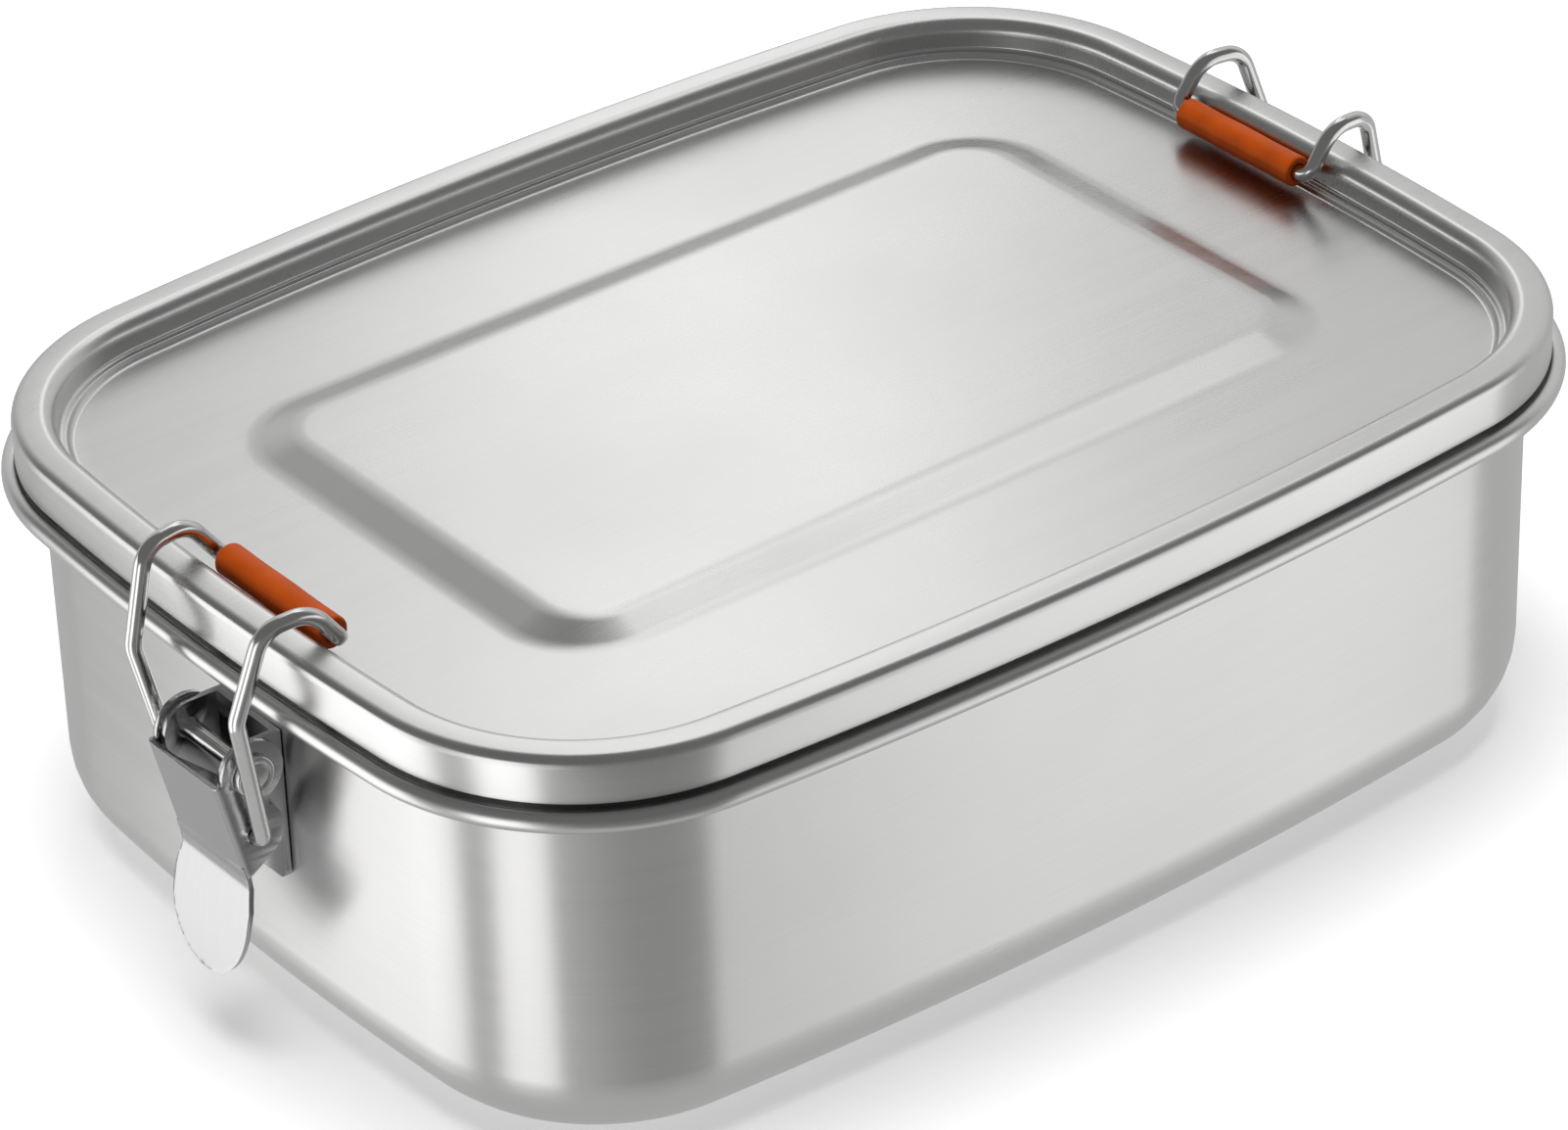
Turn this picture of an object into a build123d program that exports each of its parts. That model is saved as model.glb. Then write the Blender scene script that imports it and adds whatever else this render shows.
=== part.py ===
from build123d import *
import math
import os

# A two-clamp stainless lunch box: a deep-drawn tub, a pressed lid and a toggle clamp on each
# short end. Millimetres. X runs along the long side, Z is up, and the origin is the middle of
# the underside. Every plan outline is the lid's outer wall moved in or out by an offset.

# Plan of the lid's outer wall: four gently bowed sides joined by round corners
HALF_LENGTH = 100.0
HALF_WIDTH = 75.4
CORNER_R = 35.3
END_BOW_R = 558.0
SIDE_BOW_R = 793.0
SHEET = 0.6

# Places closer than NEAR are the same place. A cutter runs PAST the face that it opens.
NEAR = 0.001
PAST = 1.0

# Tub
TUB_OFFSET = -3.5
BASE_R = 13.3
LIP_TOP = 63.5
BEAD_R = 1.5
BEAD_EDGE_R = 1.48
BEAD_Z = 57.7
BEAD_OFFSET = 0.55
WEB = 1.6
EDGE_R = 0.25

# Lid
LID_TOP = 66.9
SKIRT_BOTTOM = 59.9
RIM_OUTER_R = 1.5
RIM_INNER_OFFSET = -6.25
RIM_INNER_R = 2.3
PANEL_Z = 61.4
PANEL_R = 1.4
CROWN_HALF_LENGTH = 69.4
CROWN_HALF_WIDTH = 41.0
CROWN_CORNER_R = 13.4
CROWN_BEVEL = 5.9
CROWN_RISE = 1.9
CROWN_EDGE_R = 1.2

# Gasket in the channel under the lid's rim
GASKET_GAP = 0.4
GASKET_BOTTOM = LIP_TOP + 0.3
GASKET_TOP_GAP = 0.3
GASKET_EDGE_R = 1.0

# Toggle clamp on the -X end. Its middle plane is set a little to one side of the end's middle.
CLAMP_Y = -5.5
WALL_X = -(HALF_LENGTH + TUB_OFFSET)
WELD_GAP = 0.01
AXLE = (-101.9, 45.8)
AXLE_R = 1.4
AXLE_BORE_R = 1.45
BRACKET_BORE_R = 1.42
RIVET_R = 3.05
RIVET_HEAD = 1.0
RIVET_EDGE_R = 0.5
RIVET_RING = (1.75, 2.1)
RIVET_RING_DEPTH = 0.2
RIVET_GAP = 0.1

BRACKET_HALF = 7.3
BRACKET_SHEET = 1.0
BRACKET_TOP = 50.0
BRACKET_BOTTOM = 26.2
BRACKET_CORNER_R = 1.5
EAR_R = 4.3
EAR_NOSE = 2.6
EAR_CHIN = 3.4
EAR_FOOT_Z = 35.5

LEVER_HALF = 8.2
LEVER_SHEET = 0.8
LEVER_TOP = (-107.9, 45.7)
LEVER_NECK = (-104.1, 29.5)
LEVER_FOLD_R = 0.75
LOBE_R = 4.9
HEEL_R = 4.6
HOOK = (-102.2, 36.2)
HOOK_BORE_R = 1.4
NOTCH = (-99.8, 41.6)
HEEL_FOOT = (-99.4, 32.4)
TAB_HALF = 8.8
TAB_ROOT = (-104.57, 31.5)
TAB_ROOT_HALF = 8.0
TAB_SHOULDER = 2.5
TAB_BEND = (-103.9, 27.6)
TAB_TIP = (-106.9, 12.4)
TAB_SAG = 0.35
TAB_ROUND = 9.6

WIRE_R = 1.2
BAIL_HOOK_END = 6.8
BAIL_HOOK_OUT = 10.1
BAIL_KNEE = (-106.2, 12.3, 57.7)
BAIL_SHOULDER = (-102.1, 13.8, 70.9)
BAIL_CREST = (-94.9, 14.4, 71.4)
BAIL_CORNER = (-90.15, 14.6, 65.0)
BAIL_RADII = (1.6, 4.0, 4.2, 5.2, 1.8)
SLEEVE_R = 2.4
SLEEVE_BORE_R = 1.23
SLEEVE_HALF = 12.3
SLEEVE_EDGE_R = 0.3


def corner_centre():
    """Centre of the +X +Y corner arc, tangent to the bowed side and the bowed end."""
    side = Vector(0, HALF_WIDTH - SIDE_BOW_R)
    end = Vector(HALF_LENGTH - END_BOW_R, 0)
    reach_side = SIDE_BOW_R - CORNER_R
    reach_end = END_BOW_R - CORNER_R
    apart = (end - side).length
    along = (reach_side**2 - reach_end**2 + apart**2) / (2 * apart)
    across = math.sqrt(reach_side**2 - along**2)
    step = (end - side).normalized()
    return side + step * along + Vector(step.Y, -step.X) * across


def plan(offset):
    """The plan outline, moved out by offset, as a face at Z = 0."""
    corner = corner_centre()
    side = Vector(0, HALF_WIDTH - SIDE_BOW_R)
    end = Vector(HALF_LENGTH - END_BOW_R, 0)
    radius = CORNER_R + offset
    on_side = corner + (corner - side).normalized() * radius
    on_end = corner + (corner - end).normalized() * radius
    mid = corner + ((on_side - corner) + (on_end - corner)).normalized() * radius

    def at(point, sx, sy):
        return (point.X * sx, point.Y * sy)

    top = (0, HALF_WIDTH + offset)
    right = (HALF_LENGTH + offset, 0)
    arcs = []
    for sx, sy in ((1, 1), (-1, -1)):
        flat_top = (top[0], top[1] * sy)
        flat_right = (right[0] * sx, right[1])
        arcs.append(ThreePointArc(at(on_side, -sx, sy), flat_top, at(on_side, sx, sy)))
        arcs.append(ThreePointArc(at(on_side, sx, sy), at(mid, sx, sy), at(on_end, sx, sy)))
        arcs.append(ThreePointArc(at(on_end, sx, sy), flat_right, at(on_end, sx, -sy)))
        arcs.append(ThreePointArc(at(on_end, sx, -sy), at(mid, sx, -sy), at(on_side, sx, -sy)))
    return make_face(arcs)


def prism(offset, low, high):
    """The plan outline as an upright block from low to high."""
    return Pos(0, 0, low) * extrude(plan(offset), amount=high - low)


def edges_at(solid, z):
    """Edges that lie wholly at one height."""
    return [e for e in solid.edges() if abs(e.bounding_box().min.Z - z) < NEAR
            and abs(e.bounding_box().max.Z - z) < NEAR]


def within(edges, offset):
    """The edges whose ends are no further out than the plan outline moved by offset."""
    reach_x = HALF_LENGTH + offset + NEAR
    reach_y = HALF_WIDTH + offset + NEAR
    return [e for e in edges if all(abs(v.X) < reach_x and abs(v.Y) < reach_y for v in e.vertices())]


def make_tub():
    shell = prism(TUB_OFFSET, 0, LIP_TOP)
    shell = fillet(edges_at(shell, 0), BASE_R)
    hollow = prism(TUB_OFFSET - SHEET, SHEET, LIP_TOP + PAST)
    hollow = fillet(edges_at(hollow, SHEET), BASE_R - SHEET)
    web = prism(BEAD_OFFSET, BEAD_Z - WEB / 2, BEAD_Z + WEB / 2)
    bead = prism(BEAD_OFFSET + BEAD_R, BEAD_Z - BEAD_R, BEAD_Z + BEAD_R)
    bead -= prism(BEAD_OFFSET - BEAD_R, BEAD_Z - BEAD_R, BEAD_Z + BEAD_R)
    bead = fillet(edges_at(bead, BEAD_Z - BEAD_R) + edges_at(bead, BEAD_Z + BEAD_R), BEAD_EDGE_R)
    tub = shell + web + bead - hollow
    return fillet(edges_at(tub, LIP_TOP), EDGE_R)


def crown(low):
    """The lid's raised middle, a low four-sided rise with sloping sides, standing on low."""
    foot = Pos(0, 0, low) * RectangleRounded(2 * CROWN_HALF_LENGTH, 2 * CROWN_HALF_WIDTH, CROWN_CORNER_R)
    flat = Pos(0, 0, low + CROWN_RISE) * RectangleRounded(
        2 * (CROWN_HALF_LENGTH - CROWN_BEVEL), 2 * (CROWN_HALF_WIDTH - CROWN_BEVEL),
        CROWN_CORNER_R - CROWN_BEVEL)
    return loft([foot.face(), flat.face()])


def make_lid():
    rise = crown(PANEL_Z)
    lid = prism(0, SKIRT_BOTTOM, LID_TOP)
    lid = fillet(edges_at(lid, LID_TOP), RIM_OUTER_R)
    recess = prism(RIM_INNER_OFFSET, PANEL_Z, LID_TOP)
    recess = fillet(edges_at(recess, PANEL_Z), PANEL_R)
    lid -= recess
    lid = fillet(within(edges_at(lid, LID_TOP), RIM_INNER_OFFSET), RIM_INNER_R)
    lid += rise
    lid = fillet(edges_at(lid, PANEL_Z + CROWN_RISE), CROWN_EDGE_R)
    channel = prism(-SHEET, SKIRT_BOTTOM, LID_TOP - SHEET)
    channel -= prism(RIM_INNER_OFFSET + SHEET, SKIRT_BOTTOM, LID_TOP - SHEET)
    roof = edges_at(channel, LID_TOP - SHEET)
    inner = within(roof, RIM_INNER_OFFSET + SHEET)
    channel = fillet([e for e in roof if e not in inner], RIM_OUTER_R - SHEET)
    roof = edges_at(channel, LID_TOP - SHEET)
    channel = fillet(within(roof, RIM_INNER_OFFSET + SHEET), RIM_INNER_R - SHEET)
    under = prism(RIM_INNER_OFFSET + SHEET, SKIRT_BOTTOM, PANEL_Z - SHEET)
    return lid - channel - under - crown(PANEL_Z - SHEET)


def make_gasket():
    outer = -SHEET - GASKET_GAP
    inner = RIM_INNER_OFFSET + SHEET + GASKET_GAP
    top = LID_TOP - SHEET - GASKET_TOP_GAP
    ring = prism(outer, GASKET_BOTTOM, top) - prism(inner, GASKET_BOTTOM, top)
    return fillet(edges_at(ring, GASKET_BOTTOM) + edges_at(ring, top), GASKET_EDGE_R)


def slab(outline, half):
    """A flat outline drawn in X and Z, as a block from -half to +half about the clamp's middle."""
    face = Plane(origin=(0, CLAMP_Y + half, 0), x_dir=(1, 0, 0), z_dir=(0, -1, 0)) * outline
    return extrude(face, amount=2 * half, dir=(0, -1, 0))


def rod(at, radius, half):
    """A round bar across the clamp, centred on its middle plane."""
    return slab(Pos(*at) * Circle(radius), half)


def make_bracket():
    back = Pos(WALL_X - WELD_GAP - BRACKET_SHEET / 2, CLAMP_Y, (BRACKET_TOP + BRACKET_BOTTOM) / 2)
    back *= Box(BRACKET_SHEET, 2 * BRACKET_HALF, BRACKET_TOP - BRACKET_BOTTOM)
    back = fillet(back.edges().filter_by(Axis.X).group_by(Axis.Z)[0], BRACKET_CORNER_R)
    ear_back = WALL_X - BRACKET_SHEET / 2
    ear = Polygon(
        (ear_back, BRACKET_TOP), (AXLE[0], AXLE[1] + EAR_R), (AXLE[0] - EAR_NOSE, AXLE[1]),
        (AXLE[0] - EAR_NOSE, AXLE[1] - EAR_CHIN), (ear_back, EAR_FOOT_Z), align=None)
    ear += Pos(*AXLE) * Circle(EAR_R)
    ears = slab(ear, BRACKET_HALF) - slab(ear, BRACKET_HALF - BRACKET_SHEET)
    return back + ears - rod(AXLE, BRACKET_BORE_R, BRACKET_HALF)


def make_axle():
    shank_half = LEVER_HALF + RIVET_GAP
    pin = rod(AXLE, AXLE_R, shank_half)
    for side, end in ((-1, 0), (1, -1)):
        head = Pos(0, side * (shank_half + RIVET_HEAD / 2), 0) * rod(AXLE, RIVET_R, RIVET_HEAD / 2)
        rim = head.edges().filter_by(GeomType.CIRCLE).sort_by(Axis.Y)[end]
        face = Pos(0, side * (shank_half + RIVET_HEAD), 0)
        ring = face * (rod(AXLE, RIVET_RING[1], RIVET_RING_DEPTH) - rod(AXLE, RIVET_RING[0], RIVET_RING_DEPTH))
        pin += fillet(rim, RIVET_EDGE_R) - ring
    return pin


def tab_blank():
    """The thumb tab seen from outside: it widens below the neck and has a round end."""
    widest = TAB_TIP[1] + TAB_ROUND
    half = [(0, TAB_ROOT[1]), (TAB_ROOT_HALF, TAB_ROOT[1]), (TAB_ROOT_HALF, TAB_BEND[1]),
            (TAB_HALF, widest + TAB_SHOULDER), (TAB_HALF, widest), (0, widest)]
    outline = Polygon(*half, align=None)
    outline += mirror(outline, about=Plane.YZ)
    outline += Pos(0, widest) * Ellipse(TAB_HALF, TAB_ROUND)
    outside = Plane(origin=(LEVER_TOP[0] - LEVER_SHEET, CLAMP_Y, 0), x_dir=(0, 1, 0), z_dir=(1, 0, 0))
    return extrude(outside * outline, amount=WALL_X - LEVER_TOP[0], dir=(1, 0, 0))


def tab_side():
    """The thumb tab seen from the side: it bends back at the neck and flares out to the tip."""
    mid = ((TAB_BEND[0] + TAB_TIP[0]) / 2 - TAB_SAG, (TAB_BEND[1] + TAB_TIP[1]) / 2)
    front = (TAB_ROOT, LEVER_NECK, TAB_BEND, mid, TAB_TIP)
    back = [(x + LEVER_SHEET, z) for x, z in front]
    edges = []
    for root, neck, bend, middle, tip in (front, back):
        edges += [Line(root, neck), Line(neck, bend), ThreePointArc(bend, middle, tip)]
    edges += [Line(front[0], back[0]), Line(front[-1], back[-1])]
    return make_face(edges)


def make_lever():
    cheek = Polygon(LEVER_TOP, LEVER_NECK, HEEL_FOOT, NOTCH, (NOTCH[0], AXLE[1]), AXLE, align=None)
    cheek += Pos(*AXLE) * Circle(LOBE_R)
    cheek += Pos(*HOOK) * Circle(HEEL_R)
    above = (2 * LEVER_TOP[0] - LEVER_NECK[0], 2 * LEVER_TOP[1] - LEVER_NECK[1])
    cheek &= Polygon(LEVER_NECK, above, (WALL_X, above[1]), (WALL_X, LEVER_NECK[1]), align=None)
    body = slab(cheek, LEVER_HALF)
    middle = (LEVER_TOP[0] + LEVER_NECK[0]) / 2
    front = [e for e in body.edges() if abs(abs(e.center().Y - CLAMP_Y) - LEVER_HALF) < NEAR
             and abs(e.center().X - middle) < NEAR]
    body = fillet(front, LEVER_FOLD_R)
    behind = Polygon(*[(x + LEVER_SHEET, z) for x, z in (LEVER_NECK, above)],
                     (WALL_X, above[1]), (WALL_X, LEVER_NECK[1]), align=None)
    inside = slab(behind, LEVER_HALF - LEVER_SHEET)
    tab = slab(tab_side(), TAB_HALF) & tab_blank()
    lever = body - inside + tab
    return lever - rod(AXLE, AXLE_BORE_R, LEVER_HALF) - rod(HOOK, HOOK_BORE_R, LEVER_HALF)


def make_bail():
    def leg(side):
        spots = ((HOOK[0], BAIL_HOOK_END, HOOK[1]), (HOOK[0], BAIL_HOOK_OUT, HOOK[1]),
                 BAIL_KNEE, BAIL_SHOULDER, BAIL_CREST, BAIL_CORNER)
        return [(x, CLAMP_Y + side * y, z) for x, y, z in spots]

    path = FilletPolyline(*(leg(1) + leg(-1)[::-1]), radius=list(BAIL_RADII + BAIL_RADII[::-1]))
    start = Plane(origin=path @ 0, z_dir=path % 0)
    return sweep(start * Circle(WIRE_R), path=path)


def make_sleeve():
    at = (BAIL_CORNER[0], BAIL_CORNER[2])
    tube = rod(at, SLEEVE_R, SLEEVE_HALF)
    tube = fillet(tube.edges().filter_by(GeomType.CIRCLE), SLEEVE_EDGE_R)
    return tube - rod(at, SLEEVE_BORE_R, SLEEVE_HALF + PAST)


def main():
    os.makedirs("parts", exist_ok=True)
    nodes = {"tub": make_tub(), "lid": make_lid(), "lid_gasket": make_gasket()}
    clamp = {"bracket": make_bracket(), "axle": make_axle(), "lever": make_lever(),
             "bail": make_bail(), "sleeve": make_sleeve()}
    for name, piece in clamp.items():
        nodes["near_" + name] = piece
        nodes["far_" + name] = Rot(0, 0, 180) * piece
    for name, piece in nodes.items():
        export_step(piece, f"parts/{name}.step")


main()
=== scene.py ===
import math

import bmesh
import bpy
from mathutils import Matrix, Vector


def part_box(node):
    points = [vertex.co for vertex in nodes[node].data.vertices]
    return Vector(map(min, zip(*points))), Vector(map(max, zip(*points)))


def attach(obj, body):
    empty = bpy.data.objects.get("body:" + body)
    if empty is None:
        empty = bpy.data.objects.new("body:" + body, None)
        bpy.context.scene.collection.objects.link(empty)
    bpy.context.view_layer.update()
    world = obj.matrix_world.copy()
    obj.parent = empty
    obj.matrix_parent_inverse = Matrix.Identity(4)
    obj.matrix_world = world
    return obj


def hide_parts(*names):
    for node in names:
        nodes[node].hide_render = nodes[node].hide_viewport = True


# The looks of the two-clamp stainless lunch box. The shapes and the camera's place are written in
# millimetres and scaled by MM. The floor, the lights and the textures are in metres, as Blender is.
MM = 0.001

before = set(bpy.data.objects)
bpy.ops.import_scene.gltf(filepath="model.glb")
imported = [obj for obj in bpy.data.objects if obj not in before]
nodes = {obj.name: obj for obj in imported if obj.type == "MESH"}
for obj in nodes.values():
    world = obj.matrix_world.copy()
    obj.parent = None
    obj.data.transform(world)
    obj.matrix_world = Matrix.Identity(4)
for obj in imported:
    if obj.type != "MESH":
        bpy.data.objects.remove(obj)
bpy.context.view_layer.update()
lid_low, lid_high = (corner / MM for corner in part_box("lid"))
tub_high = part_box("tub")[1] / MM

# Plan of the lid's outer wall: bowed sides and ends joined by round corners
HALF_LENGTH = 100.0
HALF_WIDTH = 75.4
CORNER_R = 35.3
END_BOW_R = 558.0
SIDE_BOW_R = 793.0
SHEET = 0.6
EDGE_R = 0.25

# How finely a plan outline is divided (half a side, an end, a corner), and a profile's round corner
SIDE_STEPS = 20
END_STEPS = 32
CORNER_STEPS = 32
ROUND_STEPS = 9

# The tub's profile, as distances out from the lid's outer wall and heights above the base
TUB_OFFSET = -3.5
BASE_R = 13.3
BASE_RUN = 4
BASE_SCALES = (0.25, 0.5, 0.75)
BEAD_OFFSET = 0.55
BEAD_Z = 57.7
BEAD_R = 1.5
BEAD_STEPS = 24
WEB = 1.6
WEB_LOW_R = 0.7
WEB_HIGH_R = 0.5

# The lid's profile: the panel runs up over a small ledge to the rim, and down the skirt outside
PANEL_EDGE = -10.5
LEDGE_FOOT = -8.0
LEDGE_FOOT_R = 0.9
LEDGE_EDGE = -7.5
LEDGE_EDGE_R = 0.3
LEDGE_EDGE_UNDER = -7.2
LEDGE_FOOT_UNDER = -7.6
UNDER_R = 0.2
RIM_FOOT = -6.35
RIM_FOOT_R = 0.5
RIM_FOOT_UNDER_R = 0.3
RIM_INNER = -6.25
RIM_INNER_R = 2.3
RIM_OUTER_R = 1.5
PANEL_Z = 61.4
LEDGE_Z = 62.3
PANEL_STEPS = 5
ON_WALL = 0.001

# The raised middle of the lid, with straight sides drawn as very wide bows
CROWN_HALF_LENGTH = 69.4
CROWN_HALF_WIDTH = 41.0
CROWN_CORNER_R = 13.4
CROWN_BEVEL = 5.9
CROWN_RISE = 1.9
CROWN_SOFT_R = 9.0
CROWN_RUN = 3
CROWN_SCALES = (0.2, 0.4, 0.6, 0.8)
STRAIGHT = 60000.0

# The bail's route from a hook to the middle of its sleeve, beside the clamp's middle plane
CLAMP_Y = -5.5
BAIL_SPOTS = ((-102.2, 6.8, 36.2), (-102.2, 10.1, 36.2), (-106.2, 12.3, 57.7), (-102.1, 13.8, 70.9),
              (-94.9, 14.4, 71.4), (-90.15, 14.6, 65.0))
BAIL_RADII = (1.6, 4.0, 4.2, 5.2, 1.8)
BAIL_STEPS = 12
WIRE_R = 1.2
WIRE_SIDES = 28
WIRE_END_R = 0.35
END_EASE = 0.3

SLEEVE_BORE_R = 1.23
SLEEVE_BORE_RUN = 2
SLEEVE_BORE_EDGE_R = 0.25
SLEEVE_EDGE_R = 0.45
SLEEVE_STEPS = 24
SLEEVE_SIDES = 64
OUTER_DEPTH = 0.3
WAIST = 0.06
PARTING_DEPTH = 0.05
PARTING_WIDTH = 0.2

# Easing of the clamps' sheet edges, and how they are cleaned before it (metres and degrees)
LEVER_STEPS = 36
BRACKET_EASE = 0.12
AXLE_EASE = 0.12
LEVER_EASE = 0.14
EASE_SEGMENTS = 2
SHARP_ANGLE = 35
FLAT_ANGLE = 0.5
MERGE_DISTANCE = 1e-6
CUT_DISTANCE = 1e-7
SIDE_ON = 0.7


# ---------------------------------------------------------------- outlines and profiles

def arc(centre, radius, start, stop, steps):
    """Points along an arc, angles in radians, without the last one."""
    angles = [start + (stop - start) * i / steps for i in range(steps)]
    return [(centre[0] + radius * math.cos(a), centre[1] + radius * math.sin(a)) for a in angles]


def outline(half_x, half_y, corner_r, end_bow, side_bow, offset):
    """One bowed, round-cornered plan outline, moved out by offset, from the middle of +Y round."""
    side_centre = half_y - side_bow
    end_centre = half_x - end_bow
    apart = math.hypot(end_centre, side_centre)
    side_reach = side_bow - corner_r
    end_reach = end_bow - corner_r
    along = (side_reach**2 - end_reach**2 + apart**2) / (2 * apart)
    across = math.sqrt(side_reach**2 - along**2)
    step = (end_centre / apart, -side_centre / apart)
    cx = step[0] * along + step[1] * across
    cy = side_centre + step[1] * along - step[0] * across
    lean_side = math.atan2(cx, cy - side_centre)
    lean_end = math.atan2(cy, cx - end_centre)
    quarter = math.pi / 2
    corner = corner_r + offset
    side = side_bow + offset
    end = end_bow + offset
    points = arc((0, side_centre), side, quarter, quarter + lean_side, SIDE_STEPS)
    points += arc((-cx, cy), corner, quarter + lean_side, 2 * quarter - lean_end, CORNER_STEPS)
    points += arc((-end_centre, 0), end, 2 * quarter - lean_end, 2 * quarter + lean_end, END_STEPS)
    points += arc((-cx, -cy), corner, 2 * quarter + lean_end, 3 * quarter - lean_side, CORNER_STEPS)
    points += arc((0, -side_centre), side, 3 * quarter - lean_side, 3 * quarter + lean_side,
                  2 * SIDE_STEPS)
    points += arc((cx, -cy), corner, 3 * quarter + lean_side, 4 * quarter - lean_end, CORNER_STEPS)
    points += arc((end_centre, 0), end, -lean_end, lean_end, END_STEPS)
    points += arc((cx, cy), corner, lean_end, quarter - lean_side, CORNER_STEPS)
    points += arc((0, side_centre), side, quarter - lean_side, quarter, SIDE_STEPS)
    return points


def plan(offset, z):
    """The lid's plan outline at one height, moved out by offset."""
    points = outline(HALF_LENGTH, HALF_WIDTH, CORNER_R, END_BOW_R, SIDE_BOW_R, offset)
    return [Vector((x, y, z)) for x, y in points]


def crown(inset, z):
    """The outline of the lid's raised middle at one height, moved in by inset."""
    points = outline(CROWN_HALF_LENGTH, CROWN_HALF_WIDTH, CROWN_CORNER_R, STRAIGHT, STRAIGHT, -inset)
    return [Vector((x, y, z)) for x, y in points]


def rounded(spots):
    """A profile through (across, z, radius) spots with each spot's corner rounded to its radius."""
    path = [Vector(spots[0][:2])]
    for before, (x, z, radius), after in zip(spots, spots[1:], spots[2:]):
        here = Vector((x, z))
        back = (Vector(before[:2]) - here).normalized()
        on = (Vector(after[:2]) - here).normalized()
        half = back.angle(on) / 2
        if radius == 0:
            path.append(here)
            continue
        cut = radius / math.tan(half)
        centre = here + (back + on).normalized() * radius / math.sin(half)
        start = here + back * cut - centre
        turn = math.pi - 2 * half
        sense = 1 if back.cross(on) < 0 else -1
        for i in range(ROUND_STEPS + 1):
            spin = Matrix.Rotation(sense * turn * i / ROUND_STEPS, 2)
            path.append(centre + spin @ start)
    path.append(Vector(spots[-1][:2]))
    return path


# ---------------------------------------------------------------- meshes

def shrunk(ring, scale):
    """A ring drawn in towards the Z axis."""
    return [Vector((p.x * scale, p.y * scale, p.z)) for p in ring]


def between(first, last, steps):
    """Rings evenly spaced between two rings, both left out."""
    return [[a.lerp(b, i / steps) for a, b in zip(first, last)] for i in range(1, steps)]


def linked(name, mesh):
    """A new object in the scene for a mesh."""
    piece = bpy.data.objects.new(name, mesh)
    bpy.context.scene.collection.objects.link(piece)
    return piece


def as_piece(name, bm):
    """A new object from a finished bmesh."""
    mesh = bpy.data.meshes.new(name)
    bm.to_mesh(mesh)
    bm.free()
    return linked(name, mesh)


def walled(bm, rows):
    """Joins each closed row of vertices to the next one with four-sided faces."""
    for one, two in zip(rows, rows[1:]):
        for i in range(len(one)):
            j = (i + 1) % len(one)
            bm.faces.new((one[i], one[j], two[j], two[i]))


def shell(name, rings, flat_rings=()):
    """A closed mesh through a row of rings, closed by a fan at each end. Its UV map named grain
    runs along the brushing: round the box, or along X on the rings numbered in flat_rings."""
    bm = bmesh.new()
    grain = bm.loops.layers.uv.new("grain")
    count = len(rings[0])
    rows = [[bm.verts.new(p * MM) for p in ring] for ring in rings]
    longest = max(rings, key=lambda ring: sum((a - b).length for a, b in zip(ring, ring[1:])))
    around = [0.0]
    for a, b in zip(longest, longest[1:] + longest[:1]):
        around.append(around[-1] + (a - b).length)
    down = [0.0]
    for one, two in zip(rings, rings[1:]):
        down.append(down[-1] + (one[0] - two[0]).length)
    for k in range(len(rows) - 1):
        for i in range(count):
            j = (i + 1) % count
            face = bm.faces.new((rows[k][i], rows[k][j], rows[k + 1][j], rows[k + 1][i]))
            spots = ((i, k), (i + 1, k), (i + 1, k + 1), (i, k + 1))
            for loop, (u, v) in zip(face.loops, spots):
                if k in flat_rings:
                    loop[grain].uv = loop.vert.co.xy
                else:
                    loop[grain].uv = (around[u] * MM, down[v] * MM)
    for row, ring in ((rows[0], rings[0]), (rows[-1], rings[-1])):
        middle = bm.verts.new(Vector((0, 0, ring[0].z)) * MM)
        for i in range(count):
            face = bm.faces.new((row[i], row[(i + 1) % count], middle))
            for loop in face.loops:
                loop[grain].uv = loop.vert.co.xy
    bmesh.ops.recalc_face_normals(bm, faces=bm.faces)
    for face in bm.faces:
        face.smooth = True
    return as_piece(name, bm)


def make_tub():
    """The deep-drawn tub: round base edge, straight wall, rolled bead, lip, and the inside."""
    wall = TUB_OFFSET
    web_low = BEAD_Z - WEB / 2
    web_high = BEAD_Z + WEB / 2
    top = tub_high.z
    meet = math.asin(WEB / 2 / BEAD_R)
    profile = rounded([(wall - BASE_R - BASE_RUN, 0, 0), (wall, 0, BASE_R), (wall, web_low, WEB_LOW_R),
                       (BEAD_OFFSET - BEAD_R * math.cos(meet), web_low, 0)])
    bead = arc((BEAD_OFFSET, BEAD_Z), BEAD_R, meet - math.pi, math.pi - meet, BEAD_STEPS)
    profile += [Vector(p) for p in bead[1:]]
    profile += rounded([(BEAD_OFFSET - BEAD_R * math.cos(meet), web_high, 0),
                        (wall, web_high, WEB_HIGH_R), (wall, top, EDGE_R), (wall - SHEET, top, EDGE_R),
                        (wall - SHEET, SHEET, BASE_R - SHEET), (wall - BASE_R - BASE_RUN, SHEET, 0)])
    rings = [plan(p.x, p.y) for p in profile]
    base_out = [shrunk(rings[0], s) for s in BASE_SCALES]
    base_in = [shrunk(rings[-1], s) for s in reversed(BASE_SCALES)]
    return shell("tub_shell", base_out + rings + base_in)


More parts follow.
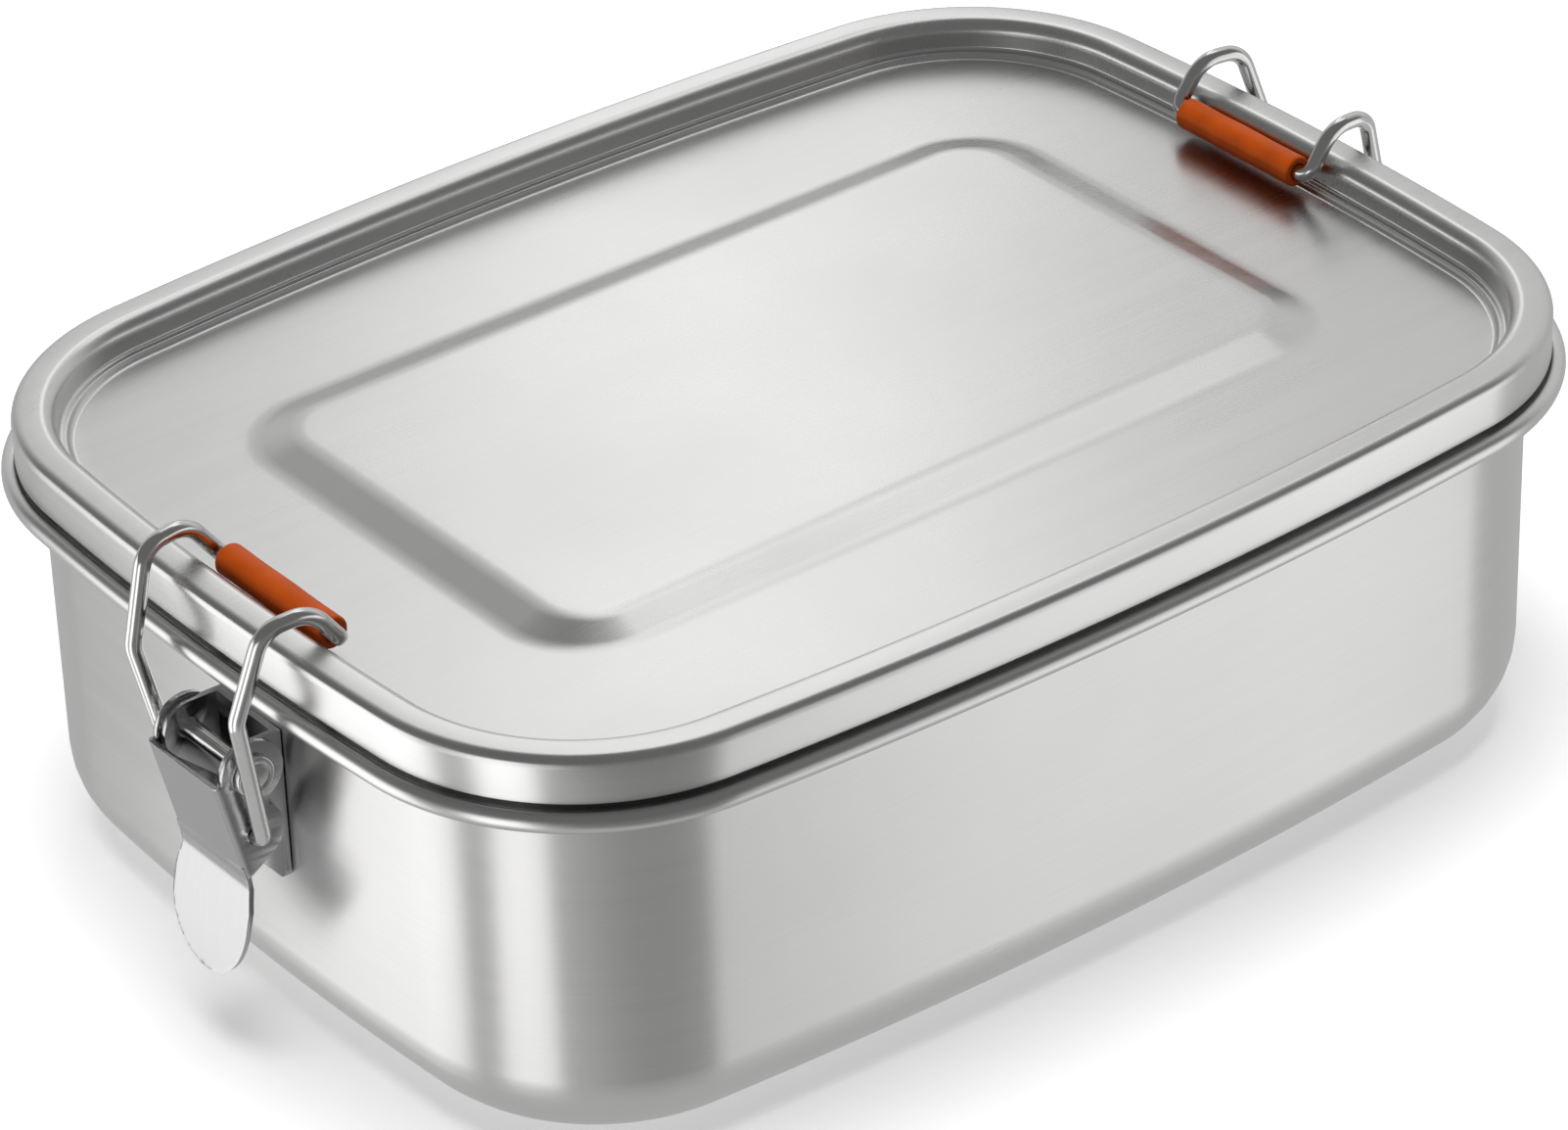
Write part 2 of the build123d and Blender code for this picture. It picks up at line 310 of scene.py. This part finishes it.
def make_lid():
    """The pressed lid: raised middle, panel, ledge, rim and skirt, and the same from below."""
    top = lid_high.z
    high = PANEL_Z + CROWN_RISE
    under = PANEL_Z - SHEET
    slope = rounded([(CROWN_BEVEL + CROWN_RUN, high, 0), (CROWN_BEVEL, high, CROWN_SOFT_R),
                     (0, PANEL_Z, CROWN_SOFT_R), (-CROWN_RUN, PANEL_Z, 0)])
    crown_rings = [crown(p.x, p.y) for p in slope]
    edge = rounded([(PANEL_EDGE, PANEL_Z, 0), (LEDGE_FOOT, PANEL_Z, LEDGE_FOOT_R),
                    (LEDGE_EDGE, LEDGE_Z, LEDGE_EDGE_R), (RIM_FOOT, LEDGE_Z, RIM_FOOT_R),
                    (RIM_INNER, top, RIM_INNER_R), (0, top, RIM_OUTER_R), (0, lid_low.z, EDGE_R),
                    (-SHEET, lid_low.z, EDGE_R), (-SHEET, top - SHEET, RIM_OUTER_R - SHEET),
                    (RIM_INNER + SHEET, top - SHEET, RIM_INNER_R - SHEET),
                    (RIM_INNER + SHEET, LEDGE_Z - SHEET, RIM_FOOT_UNDER_R),
                    (LEDGE_EDGE_UNDER, LEDGE_Z - SHEET, UNDER_R), (LEDGE_FOOT_UNDER, under, UNDER_R),
                    (PANEL_EDGE, under, 0)])
    edge_rings = [plan(p.x, p.y) for p in edge]
    slope_under = [crown(p.x, p.y - SHEET) for p in reversed(slope)]
    centre_top = [shrunk(crown_rings[0], s) for s in CROWN_SCALES]
    centre_under = [shrunk(slope_under[-1], s) for s in reversed(CROWN_SCALES)]
    rings = centre_top + crown_rings + between(crown_rings[-1], edge_rings[0], PANEL_STEPS)
    rim_end = next(k for k, p in enumerate(edge) if p.x > -ON_WALL)
    flat_rings = set(range(len(rings) + rim_end))
    rings += edge_rings
    under_start = len(rings)
    rings += between(edge_rings[-1], slope_under[0], PANEL_STEPS) + slope_under + centre_under
    flat_rings |= set(range(under_start, len(rings)))
    return shell("lid_shell", rings, flat_rings)


def softened(cad_name, width, steps=0):
    """A CAD node's shape as a new piece with its sharp edges eased, as tumbled sheet metal is. Curved
    sheet is divided into steps rows and columns, so that it shades evenly."""
    mesh = nodes[cad_name].data.copy()
    mesh.materials.clear()
    bm = bmesh.new()
    bm.from_mesh(mesh)
    bmesh.ops.remove_doubles(bm, verts=bm.verts, dist=MERGE_DISTANCE)
    bmesh.ops.dissolve_limit(bm, angle_limit=math.radians(FLAT_ANGLE), verts=bm.verts, edges=bm.edges)
    low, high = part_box(cad_name)
    for i in range(1, steps):
        spot = low.lerp(high, i / steps)
        for across in ((0, 0, 1), (0, 1, 0)):
            bmesh.ops.bisect_plane(bm, geom=bm.verts[:] + bm.edges[:] + bm.faces[:], dist=CUT_DISTANCE,
                                   plane_co=spot, plane_no=across)
    grain = bm.loops.layers.uv.new("grain")
    for face in bm.faces:
        face.smooth = True
        side_on = abs(face.normal.y) > SIDE_ON
        for loop in face.loops:
            co = loop.vert.co
            loop[grain].uv = (co.z, co.x if side_on else co.y)
    bm.to_mesh(mesh)
    bm.free()
    piece = linked(cad_name + "_eased", mesh)
    bevel = piece.modifiers.new("ease", "BEVEL")
    bevel.width = width * MM
    bevel.segments = EASE_SEGMENTS
    bevel.limit_method = "ANGLE"
    bevel.angle_limit = math.radians(SHARP_ANGLE)
    bevel.harden_normals = True
    return piece


def bent(spots, radii):
    """A route through spots with each bend rounded to its radius."""
    path = [spots[0]]
    for before, here, after, radius in zip(spots, spots[1:], spots[2:], radii):
        back = (before - here).normalized()
        on = (after - here).normalized()
        half = back.angle(on) / 2
        middle = here + (back + on).normalized() * radius / math.sin(half)
        start = here + back * radius / math.tan(half) - middle
        turn = math.pi - 2 * half
        for i in range(BAIL_STEPS + 1):
            path.append(middle + Matrix.Rotation(turn * i / BAIL_STEPS, 3, on.cross(back)) @ start)
    return path + [spots[-1]]


def make_bail(name, half_turn):
    """The bail: one polished wire bent to its route, with eased ends."""
    spots = [Vector((x, CLAMP_Y + y, z)) for x, y, z in BAIL_SPOTS]
    spots += [Vector((x, CLAMP_Y - y, z)) for x, y, z in reversed(BAIL_SPOTS)]
    path = bent(spots, BAIL_RADII + BAIL_RADII[::-1])
    heads = [(0.0, WIRE_R - WIRE_END_R), (WIRE_END_R * END_EASE, WIRE_R - WIRE_END_R * END_EASE)]
    start_way = (path[1] - path[0]).normalized()
    stop_way = (path[-1] - path[-2]).normalized()
    stations = [(path[0] + start_way * along, reach) for along, reach in heads]
    stations.append((path[0] + start_way * WIRE_END_R, WIRE_R))
    stations += [(spot, WIRE_R) for spot in path[1:-1]]
    stations.append((path[-1] - stop_way * WIRE_END_R, WIRE_R))
    stations += [(path[-1] - stop_way * along, reach) for along, reach in reversed(heads)]
    bm = bmesh.new()
    side = Vector((1, 0, 0))
    rows = []
    for k, (spot, reach) in enumerate(stations):
        before = stations[max(k - 1, 0)][0]
        after = stations[min(k + 1, len(stations) - 1)][0]
        way = (after - before).normalized()
        side = (side - way * side.dot(way)).normalized()
        up = way.cross(side)
        ring = []
        for i in range(WIRE_SIDES):
            turn = 2 * math.pi * i / WIRE_SIDES
            out = side * math.cos(turn) + up * math.sin(turn)
            ring.append(bm.verts.new((spot + out * reach) * MM))
        rows.append(ring)
    walled(bm, rows)
    bm.faces.new(rows[0])
    bm.faces.new(rows[-1])
    if half_turn:
        bmesh.ops.rotate(bm, verts=bm.verts, matrix=Matrix.Rotation(math.pi, 3, "Z"))
    bmesh.ops.recalc_face_normals(bm, faces=bm.faces)
    for face in bm.faces:
        face.smooth = len(face.verts) == 4
    return as_piece(name, bm)


def make_sleeve(cad_name):
    """The moulded silicone tube on a bail: rounded ends, two shallow waists, and a faint parting line
    along each side."""
    low, high = (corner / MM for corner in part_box(cad_name))
    centre = (low + high) / 2
    radius = (high.z - low.z) / 2
    half = (high.y - low.y) / 2
    profile = rounded([(SLEEVE_BORE_R, -half + SLEEVE_BORE_RUN, 0),
                       (SLEEVE_BORE_R, -half, SLEEVE_BORE_EDGE_R), (radius, -half, SLEEVE_EDGE_R),
                       (radius, half, SLEEVE_EDGE_R), (SLEEVE_BORE_R, half, SLEEVE_BORE_EDGE_R),
                       (SLEEVE_BORE_R, half - SLEEVE_BORE_RUN, 0)])
    split = next(k for k, p in enumerate(profile) if p.y > 0)
    start, stop = profile[split - 1], profile[split]
    profile[split:split] = [start.lerp(stop, i / SLEEVE_STEPS) for i in range(1, SLEEVE_STEPS)]
    bm = bmesh.new()
    rows = []
    for across, along in profile:
        row = []
        for i in range(SLEEVE_SIDES):
            turn = 2 * math.pi * i / SLEEVE_SIDES
            reach = across
            if across > radius - OUTER_DEPTH:
                waist = WAIST * (1 - math.cos(4 * math.pi * (along + half) / (2 * half))) / 2
                parting = PARTING_DEPTH * math.exp(-(math.sin(turn) * radius / PARTING_WIDTH)**2)
                reach -= waist + parting
            row.append(bm.verts.new(Vector((centre.x + reach * math.cos(turn), centre.y + along,
                                            centre.z + reach * math.sin(turn))) * MM))
        rows.append(row)
    rows.append(rows[0])
    walled(bm, rows)
    bmesh.ops.recalc_face_normals(bm, faces=bm.faces)
    for face in bm.faces:
        face.smooth = True
    return as_piece(cad_name + "_skin", bm)


# ---------------------------------------------------------------- materials

# How much longer than wide a brushing streak and a polishing streak are
FINE_STRETCH = 70
BROAD_STRETCH = 30
STREAK_ROUGHNESS = 0.6
SMUDGE_SCALE = 22.0
SMUDGE_ROUGH = 0.03
SPECK_SCALE = 3200.0
SPECK_SHARE = 0.15
GRAIN_ROUGH = 0.028
GRAIN_SPREAD = 0.8
GRAIN_DARK = 0.96
GRAIN_LIGHT = 1.035
GRAIN_DEPTH = 0.00002
GRAIN_TURN = 0.25

SKIN_SCALE = 2600.0
PATCH_SCALE = 180.0
SKIN_ROUGH = (0.42, 0.6)
SKIN_BUMP = 0.35
SKIN_DEPTH = 0.00006
SKIN_GLOSS = 0.25
SKIN_SCATTER = 0.08
SCATTER_RADIUS = (0.002, 0.0006, 0.0002)

# Where most of a noise texture's values lie
NOISE_LOW = 0.25
NOISE_HIGH = 0.75


def new_material(name):
    """An empty material with a shader on its output."""
    material = bpy.data.materials.new(name)
    material.use_nodes = True
    tree = material.node_tree
    tree.nodes.clear()
    out = tree.nodes.new("ShaderNodeOutputMaterial")
    shader = tree.nodes.new("ShaderNodeBsdfPrincipled")
    tree.links.new(shader.outputs["BSDF"], out.inputs["Surface"])
    return material, tree, shader


def node(tree, kind, inputs=None, **settings):
    """A new shader node. An input is linked if it is given as a socket, and set if it is a value."""
    made = tree.nodes.new("ShaderNode" + kind)
    for key, value in settings.items():
        setattr(made, key, value)
    for key, value in (inputs or {}).items():
        if isinstance(value, bpy.types.NodeSocket):
            tree.links.new(value, made.inputs[key])
        else:
            made.inputs[key].default_value = value
    return made


def ranged(tree, value, low, high):
    """A noise value spread over low to high."""
    made = node(tree, "MapRange", {"Value": value, "From Min": NOISE_LOW, "From Max": NOISE_HIGH,
                                   "To Min": low, "To Max": high})
    return made.outputs["Result"]


def streaks(tree, coords, along, across, detail):
    """Noise drawn out along the first coordinate: one streak is about 1/along by 1/across metres."""
    scaled = node(tree, "Mapping", {"Vector": coords, "Scale": (along, across, across)})
    made = node(tree, "TexNoise", {"Vector": scaled.outputs["Vector"], "Scale": 1.0, "Detail": detail,
                                   "Roughness": STREAK_ROUGHNESS})
    return made.outputs["Fac"]


def steel(name, colour, rough, aniso=0.0, brushed=True, fine=2600.0, broad=260.0, grain_bump=0.25):
    """Stainless steel: fine brushing, broad polishing streaks, faint smudges and tiny specks."""
    material, tree, shader = new_material(name)
    place = node(tree, "TexCoord").outputs["Object"]
    coords = node(tree, "UVMap", uv_map="grain").outputs["UV"] if brushed else place
    fine_grain = streaks(tree, coords, fine / FINE_STRETCH, fine, 3.0)
    broad_grain = streaks(tree, coords, broad / BROAD_STRETCH, broad, 2.0)
    smudge = node(tree, "TexNoise", {"Vector": place, "Scale": SMUDGE_SCALE, "Detail": 4.0}).outputs["Fac"]
    speck = node(tree, "TexNoise", {"Vector": place, "Scale": SPECK_SCALE, "Detail": 1.0}).outputs["Fac"]
    both = node(tree, "Math", {0: ranged(tree, fine_grain, -0.5, 0.5),
                               1: ranged(tree, broad_grain, -0.5, 0.5)}, operation="ADD").outputs[0]
    smudged = ranged(tree, smudge, rough - SMUDGE_ROUGH, rough + SMUDGE_ROUGH)
    uneven = node(tree, "Math", {0: both, 1: GRAIN_ROUGH, 2: smudged}, operation="MULTIPLY_ADD").outputs[0]
    tree.links.new(uneven, shader.inputs["Roughness"])
    tint = node(tree, "MapRange", {"Value": both, "From Min": -GRAIN_SPREAD, "From Max": GRAIN_SPREAD,
                                   "To Min": 0.0, "To Max": 1.0})
    dark = [c * GRAIN_DARK for c in colour] + [1]
    light = [min(1, c * GRAIN_LIGHT) for c in colour] + [1]
    shade = node(tree, "Mix", {"Factor": tint.outputs["Result"], "A": dark, "B": light},
                 data_type="RGBA")
    tree.links.new(shade.outputs[2], shader.inputs["Base Color"])
    specks = ranged(tree, speck, 0.0, SPECK_SHARE)
    height = node(tree, "Math", {0: fine_grain, 1: specks}, operation="ADD")
    bump = node(tree, "Bump", {"Height": height.outputs[0], "Strength": grain_bump,
                               "Distance": GRAIN_DEPTH})
    tree.links.new(bump.outputs["Normal"], shader.inputs["Normal"])
    shader.inputs["Metallic"].default_value = 1.0
    shader.inputs["Anisotropic"].default_value = aniso
    if brushed and aniso:
        tangent = node(tree, "Tangent", direction_type="UV_MAP", uv_map="grain")
        tree.links.new(tangent.outputs["Tangent"], shader.inputs["Tangent"])
        shader.inputs["Anisotropic Rotation"].default_value = GRAIN_TURN
    return material


def silicone(name, dark, light):
    """Matte silicone: a finely speckled skin and slightly uneven colour."""
    material, tree, shader = new_material(name)
    place = node(tree, "TexCoord").outputs["Object"]
    skin = node(tree, "TexNoise", {"Vector": place, "Scale": SKIN_SCALE, "Detail": 3.0}).outputs["Fac"]
    patch = node(tree, "TexNoise", {"Vector": place, "Scale": PATCH_SCALE, "Detail": 3.0}).outputs["Fac"]
    mixed = ranged(tree, patch, 0.0, 1.0)
    shade = node(tree, "Mix", {"Factor": mixed, "A": [*dark, 1], "B": [*light, 1]}, data_type="RGBA")
    tree.links.new(shade.outputs[2], shader.inputs["Base Color"])
    tree.links.new(ranged(tree, skin, *SKIN_ROUGH), shader.inputs["Roughness"])
    height = node(tree, "Math", {0: skin, 1: patch}, operation="ADD")
    bump = node(tree, "Bump", {"Height": height.outputs[0], "Strength": SKIN_BUMP,
                               "Distance": SKIN_DEPTH})
    tree.links.new(bump.outputs["Normal"], shader.inputs["Normal"])
    shader.inputs["Specular IOR Level"].default_value = SKIN_GLOSS
    shader.inputs["Subsurface Weight"].default_value = SKIN_SCATTER
    shader.inputs["Subsurface Radius"].default_value = SCATTER_RADIUS
    return material


def paint(piece, material):
    """Gives a piece one material, in place of any it has."""
    piece.data.materials.clear()
    piece.data.materials.append(material)


# ---------------------------------------------------------------- the pieces

STEEL = (0.70, 0.697, 0.69)
tub_steel = steel("tub_steel", STEEL, 0.30, aniso=0.65)
lid_steel = steel("lid_steel", STEEL, 0.29, aniso=0.55)
clamp_steel = steel("clamp_steel", (0.53, 0.525, 0.53), 0.22, aniso=0.3, fine=5200.0, broad=1500.0,
                    grain_bump=0.05)
wire_steel = steel("wire_steel", (0.70, 0.695, 0.69), 0.17, brushed=False, fine=1500.0,
                   grain_bump=0.08)
orange = silicone("orange_silicone", (0.39, 0.052, 0.0), (0.53, 0.080, 0.0))
white = silicone("white_silicone", (0.70, 0.70, 0.68), (0.82, 0.82, 0.80))

tub = make_tub()
paint(tub, tub_steel)
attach(tub, "box")
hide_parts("tub")

lid = make_lid()
paint(lid, lid_steel)
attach(lid, "box")
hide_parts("lid")

paint(nodes["lid_gasket"], white)
for side in ("near", "far"):
    for name, body, width in (("bracket", "box", BRACKET_EASE), ("axle", "box", AXLE_EASE),
                              ("lever", side + "_lever", LEVER_EASE)):
        piece = softened(f"{side}_{name}", width, LEVER_STEPS if name == "lever" else 0)
        paint(piece, wire_steel if name == "axle" else clamp_steel)
        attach(piece, body)
        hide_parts(f"{side}_{name}")
    bail = make_bail(side + "_wire", side == "far")
    paint(bail, wire_steel)
    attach(bail, side + "_bail")
    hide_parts(side + "_bail")
    sleeve = make_sleeve(side + "_sleeve")
    paint(sleeve, orange)
    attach(sleeve, side + "_bail")
    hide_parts(side + "_sleeve")

# ---------------------------------------------------------------- stage, light and camera

# The floor glows a little, as a lit white table does, so that it stays pale out to its edges
FLOOR_GLOW = 0.35
FLOOR_HALF = 4.0
FLOOR_DARK = (0.90, 0.90, 0.90, 1)
FLOOR_LIGHT = (0.93, 0.93, 0.93, 1)
FLOOR_MOTTLE_SCALE = 6.0
FLOOR_ROUGH = 0.6
WHITE = (1, 1, 1, 1)


def make_floor():
    """The pale floor. Mirror reflections don't show it, because the box is photographed on cut-out
    white and its walls reflect the room."""
    mesh = bpy.data.meshes.new("floor")
    corners = [(x * FLOOR_HALF, y * FLOOR_HALF, 0) for x, y in ((-1, -1), (1, -1), (1, 1), (-1, 1))]
    mesh.from_pydata(corners, [], [(0, 1, 2, 3)])
    floor = linked("floor", mesh)
    material, tree, shader = new_material("floor_paint")
    place = node(tree, "TexCoord").outputs["Object"]
    mottle = node(tree, "TexNoise", {"Vector": place, "Scale": FLOOR_MOTTLE_SCALE}).outputs["Fac"]
    shade = node(tree, "Mix", {"Factor": mottle, "A": FLOOR_DARK, "B": FLOOR_LIGHT}, data_type="RGBA")
    tree.links.new(shade.outputs[2], shader.inputs["Base Color"])
    shader.inputs["Roughness"].default_value = FLOOR_ROUGH
    shader.inputs["Emission Color"].default_value = WHITE
    shader.inputs["Emission Strength"].default_value = FLOOR_GLOW
    paint(floor, material)
    floor.visible_glossy = False


def make_light(name, azimuth, elevation, distance, size, radiance, mirrored=True):
    """A soft box in the given direction from the lunch box, facing it. The camera never sees it, and
    mirror reflections show it only if mirrored."""
    turn = math.radians(azimuth)
    rise = math.radians(elevation)
    place = Vector((math.cos(turn) * math.cos(rise), math.sin(turn) * math.cos(rise), math.sin(rise)))
    data = bpy.data.lights.new(name, "AREA")
    data.shape = "RECTANGLE"
    data.size, data.size_y = size
    data.energy = radiance * math.pi * size[0] * size[1]
    light = linked(name, data)
    light.location = place * distance
    light.rotation_euler = place.to_track_quat("Z", "Y").to_euler()
    light.visible_camera = False
    light.visible_glossy = mirrored


# The room: pale low down all round and behind the box, and dim higher up on the camera's own side.
# A darker gap low down lies between the soft boxes, round towards the -Y side from the camera. Each
# pair is the start and end of a change, as the cosine of the angle from the named direction.
LOW_ROOM = 0.55
BACK_ROOM = 0.69
CAMERA_SIDE_ROOM = 0.16
BACK_TOWARDS = math.radians(40)
BACK_FADE = (0.25, 0.75)
GAP_TOWARDS = math.radians(262)
GAP_FADE = (0.6, 0.85)
GAP_LEVEL = 0.22
LOW_ROOM_TOP = 0.35


def make_world():
    """The room that lights the box and that it reflects."""
    world = bpy.data.worlds.new("studio")
    bpy.context.scene.world = world
    world.use_nodes = True
    tree = world.node_tree
    tree.nodes.clear()
    out = tree.nodes.new("ShaderNodeOutputWorld")
    direction = node(tree, "TexCoord").outputs["Generated"]
    height = node(tree, "SeparateXYZ", {"Vector": direction}).outputs["Z"]

    def lobe(towards, start, stop, low, high):
        """A level that goes smoothly from low, away from a compass direction, to high, facing it."""
        facing = node(tree, "VectorMath", {0: direction, 1: (math.cos(towards), math.sin(towards), 0)},
                      operation="DOT_PRODUCT").outputs["Value"]
        return node(tree, "MapRange", {"Value": facing, "From Min": start, "From Max": stop, "To Min": low,
                                       "To Max": high}, interpolation_type="SMOOTHSTEP").outputs["Result"]

    upper = lobe(BACK_TOWARDS, *BACK_FADE, CAMERA_SIDE_ROOM, BACK_ROOM)
    lower = lobe(GAP_TOWARDS, *GAP_FADE, LOW_ROOM, GAP_LEVEL)
    climb = node(tree, "MapRange", {"Value": height, "From Min": 0.0, "From Max": LOW_ROOM_TOP},
                 interpolation_type="SMOOTHSTEP").outputs["Result"]
    level = node(tree, "Mix", {"Factor": climb, "A": lower, "B": upper}, data_type="FLOAT").outputs[0]
    back = node(tree, "Background", {"Color": WHITE, "Strength": level})
    tree.links.new(back.outputs[0], out.inputs["Surface"])


# The camera looks down from beyond the corner between the -X end and the -Y side
AZIMUTH = math.radians(-37.358)
ELEVATION = math.radians(32.344)
ROLL = math.radians(-1.810)
DISTANCE = 945.5
TARGET = Vector((16.86, 22.74, 4.67))
SENSOR_WIDTH = 36
LENS = 145.3
SHIFT_X = -0.006
SHIFT_Y = 0.0294
CLIP_END = 20


def make_camera():
    """The camera at the photograph's viewing angle."""
    back = Vector((math.sin(AZIMUTH) * math.cos(ELEVATION), -math.cos(AZIMUTH) * math.cos(ELEVATION),
                   math.sin(ELEVATION)))
    right = Vector((0, 0, 1)).cross(back).normalized()
    up = back.cross(right)
    turned_right = right * math.cos(ROLL) + up * math.sin(ROLL)
    turned_up = up * math.cos(ROLL) - right * math.sin(ROLL)
    data = bpy.data.cameras.new("camera")
    data.sensor_width = SENSOR_WIDTH
    data.lens = LENS
    data.shift_x = SHIFT_X
    data.shift_y = SHIFT_Y
    data.clip_end = CLIP_END
    camera = linked("camera", data)
    turn = Matrix((turned_right, turned_up, back)).transposed().to_4x4()
    camera.matrix_world = Matrix.Translation((TARGET + back * DISTANCE) * MM) @ turn
    bpy.context.scene.camera = camera


make_floor()
make_world()
# Azimuth and elevation in degrees, distance, (width, height), brightness. The overhead box would blow
# out the rims if they mirrored it, so it only gives soft light.
make_light("back_box", 54, 43, 1.3, (0.22, 1.1), 0.7)
make_light("crown_box", 25, 58, 1.2, (0.4, 0.35), 0.85)
make_light("left_box", 147, -12, 1.2, (0.8, 1.3), 1.1)
make_light("end_box", 198, -12, 1.2, (0.5, 1.3), 1.15)
make_light("right_box", 307, -12, 1.2, (0.85, 1.3), 0.65)
make_light("overhead_box", 200, 84, 1.3, (0.75, 0.75), 7.0, mirrored=False)
make_camera()
bpy.context.scene.view_settings.view_transform = "Standard"
